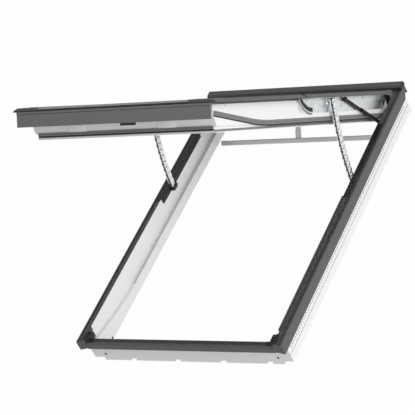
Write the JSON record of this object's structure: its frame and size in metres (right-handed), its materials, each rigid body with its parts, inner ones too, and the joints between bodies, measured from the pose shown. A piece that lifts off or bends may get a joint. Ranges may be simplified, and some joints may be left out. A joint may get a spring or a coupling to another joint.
{
  "type": "roof window",
  "caption": "Top-hung roof window: a clad white frame carries a glazed sash on lift arms, opened by push chains from drives in its jambs and held by gas struts.",
  "frame": {"origin": "middle of the frame's outline, on its underside", "axes": "+X to the right seen from outside, +Y up the slope of the roof, +Z out of the roof"},
  "size_m": [0.78, 1.209, 0.8883],
  "materials": {
    "white_coat": "satin white polyurethane coat",
    "grey_cladding": "dark grey lacquered aluminium sheet",
    "black_plastic": "moulded black plastic",
    "galvanised_steel": "zinc-plated sheet steel",
    "chain_steel": "zinc-plated push chain",
    "grey_rubber": "grey rubber seal",
    "black_rubber": "black rubber seal",
    "glass": "clear float glass",
    "bright_aluminium": "plain aluminium profile",
    "grey_aluminium": "anodised aluminium bar",
    "strut_black": "black lacquered steel"
  },
  "bodies": {
    "frame": {"left_jamb": "white_coat", "right_jamb": "white_coat", "left_jamb_cladding": "grey_cladding", "right_jamb_cladding": "grey_cladding", "left_hood_cap": "black_plastic", "right_hood_cap": "black_plastic", "left_corner_key": "black_plastic", "right_corner_key": "black_plastic", "left_frame_gasket": "grey_rubber", "right_frame_gasket": "grey_rubber", "left_drive_housing": "black_plastic", "right_drive_housing": "black_plastic", "left_chain_guide": "black_plastic", "right_chain_guide": "black_plastic", "left_hinge_bracket": "strut_black", "right_hinge_bracket": "strut_black", "left_strut_foot": "galvanised_steel", "right_strut_foot": "galvanised_steel", "left_chain": "chain_steel", "right_chain": "chain_steel", "sill_rail": "white_coat", "head_rail": "white_coat", "sill_cladding": "grey_cladding", "head_hood": "grey_cladding"},
    "lift_arms": {"left_lift_arm": "galvanised_steel", "right_lift_arm": "galvanised_steel", "left_hinge_pin": "galvanised_steel", "right_hinge_pin": "galvanised_steel", "left_pivot_plate": "galvanised_steel", "right_pivot_plate": "galvanised_steel", "left_chain_anchor": "galvanised_steel", "right_chain_anchor": "galvanised_steel", "left_arm_cover": "grey_cladding", "right_arm_cover": "grey_cladding"},
    "sash": {"sash_left_stile": "white_coat", "sash_right_stile": "white_coat", "sash_top_rail": "white_coat", "sash_bottom_rail": "white_coat", "outer_pane": "glass", "inner_pane": "glass", "glass_spacer": "bright_aluminium", "glazing_gasket": "black_rubber", "glass_edge_strip": "bright_aluminium", "sash_top_cover": "grey_cladding", "sash_front_plate": "grey_cladding", "bottom_gasket": "grey_rubber", "lock_tab": "black_plastic", "left_sash_cover": "grey_cladding", "right_sash_cover": "grey_cladding", "left_cover_cap": "black_plastic", "right_cover_cap": "black_plastic", "left_sash_gasket": "grey_rubber", "right_sash_gasket": "grey_rubber", "left_pivot_pin": "galvanised_steel", "right_pivot_pin": "galvanised_steel"},
    "control_bar": {"control_bar": "grey_aluminium"},
    "left_strut": {"left_strut_cylinder": "strut_black"},
    "right_strut": {"right_strut_cylinder": "strut_black"},
    "left_rod": {"left_strut_rod": "strut_black"},
    "right_rod": {"right_strut_rod": "strut_black"}
  },
  "joints": [
    {"name": "top_hinge", "type": "hinge", "parent": "frame", "child": "lift_arms", "pos_m": [0, 0.547, 0.1305], "axis": [-1, 0, 0], "range_deg": [-40.8, 0], "deforming": ["left_chain", "right_chain"]},
    {"name": "sash_pivot", "type": "hinge", "parent": "lift_arms", "child": "sash", "pos_m": [0, 0.11868, 0.47908], "axis": [-1, 0, 0], "range_deg": [0, 135]},
    {"name": "bar_tilt", "type": "hinge", "parent": "sash", "child": "control_bar", "pos_m": [0, 0.46944, 0.06667], "axis": [-1, 0, 0], "range_deg": [0, 25]},
    {"name": "left_strut_swing", "type": "hinge", "parent": "frame", "child": "left_strut", "pos_m": [-0.3495, 0.433, 0.0995], "axis": [-1, 0, 0], "range_deg": [-55, 0]},
    {"name": "right_strut_swing", "type": "hinge", "parent": "frame", "child": "right_strut", "pos_m": [0.3495, 0.433, 0.0995], "axis": [-1, 0, 0], "range_deg": [-55, 0]},
    {"name": "left_rod_slide", "type": "slide", "parent": "left_strut", "child": "left_rod", "axis": [0, -0.4879, 0.8729], "range_m": [-0.0625, 0]},
    {"name": "right_rod_slide", "type": "slide", "parent": "right_strut", "child": "right_rod", "axis": [0, -0.4879, 0.8729], "range_m": [-0.0625, 0]}
  ],
  "couplings": [
    {"joint": "left_strut_swing", "follows": "top_hinge", "ratio": 1.3436},
    {"joint": "right_strut_swing", "follows": "top_hinge", "ratio": 1.3436},
    {"joint": "left_rod_slide", "follows": "top_hinge", "m_per_rad": 0.08741},
    {"joint": "right_rod_slide", "follows": "top_hinge", "m_per_rad": 0.08741}
  ]
}
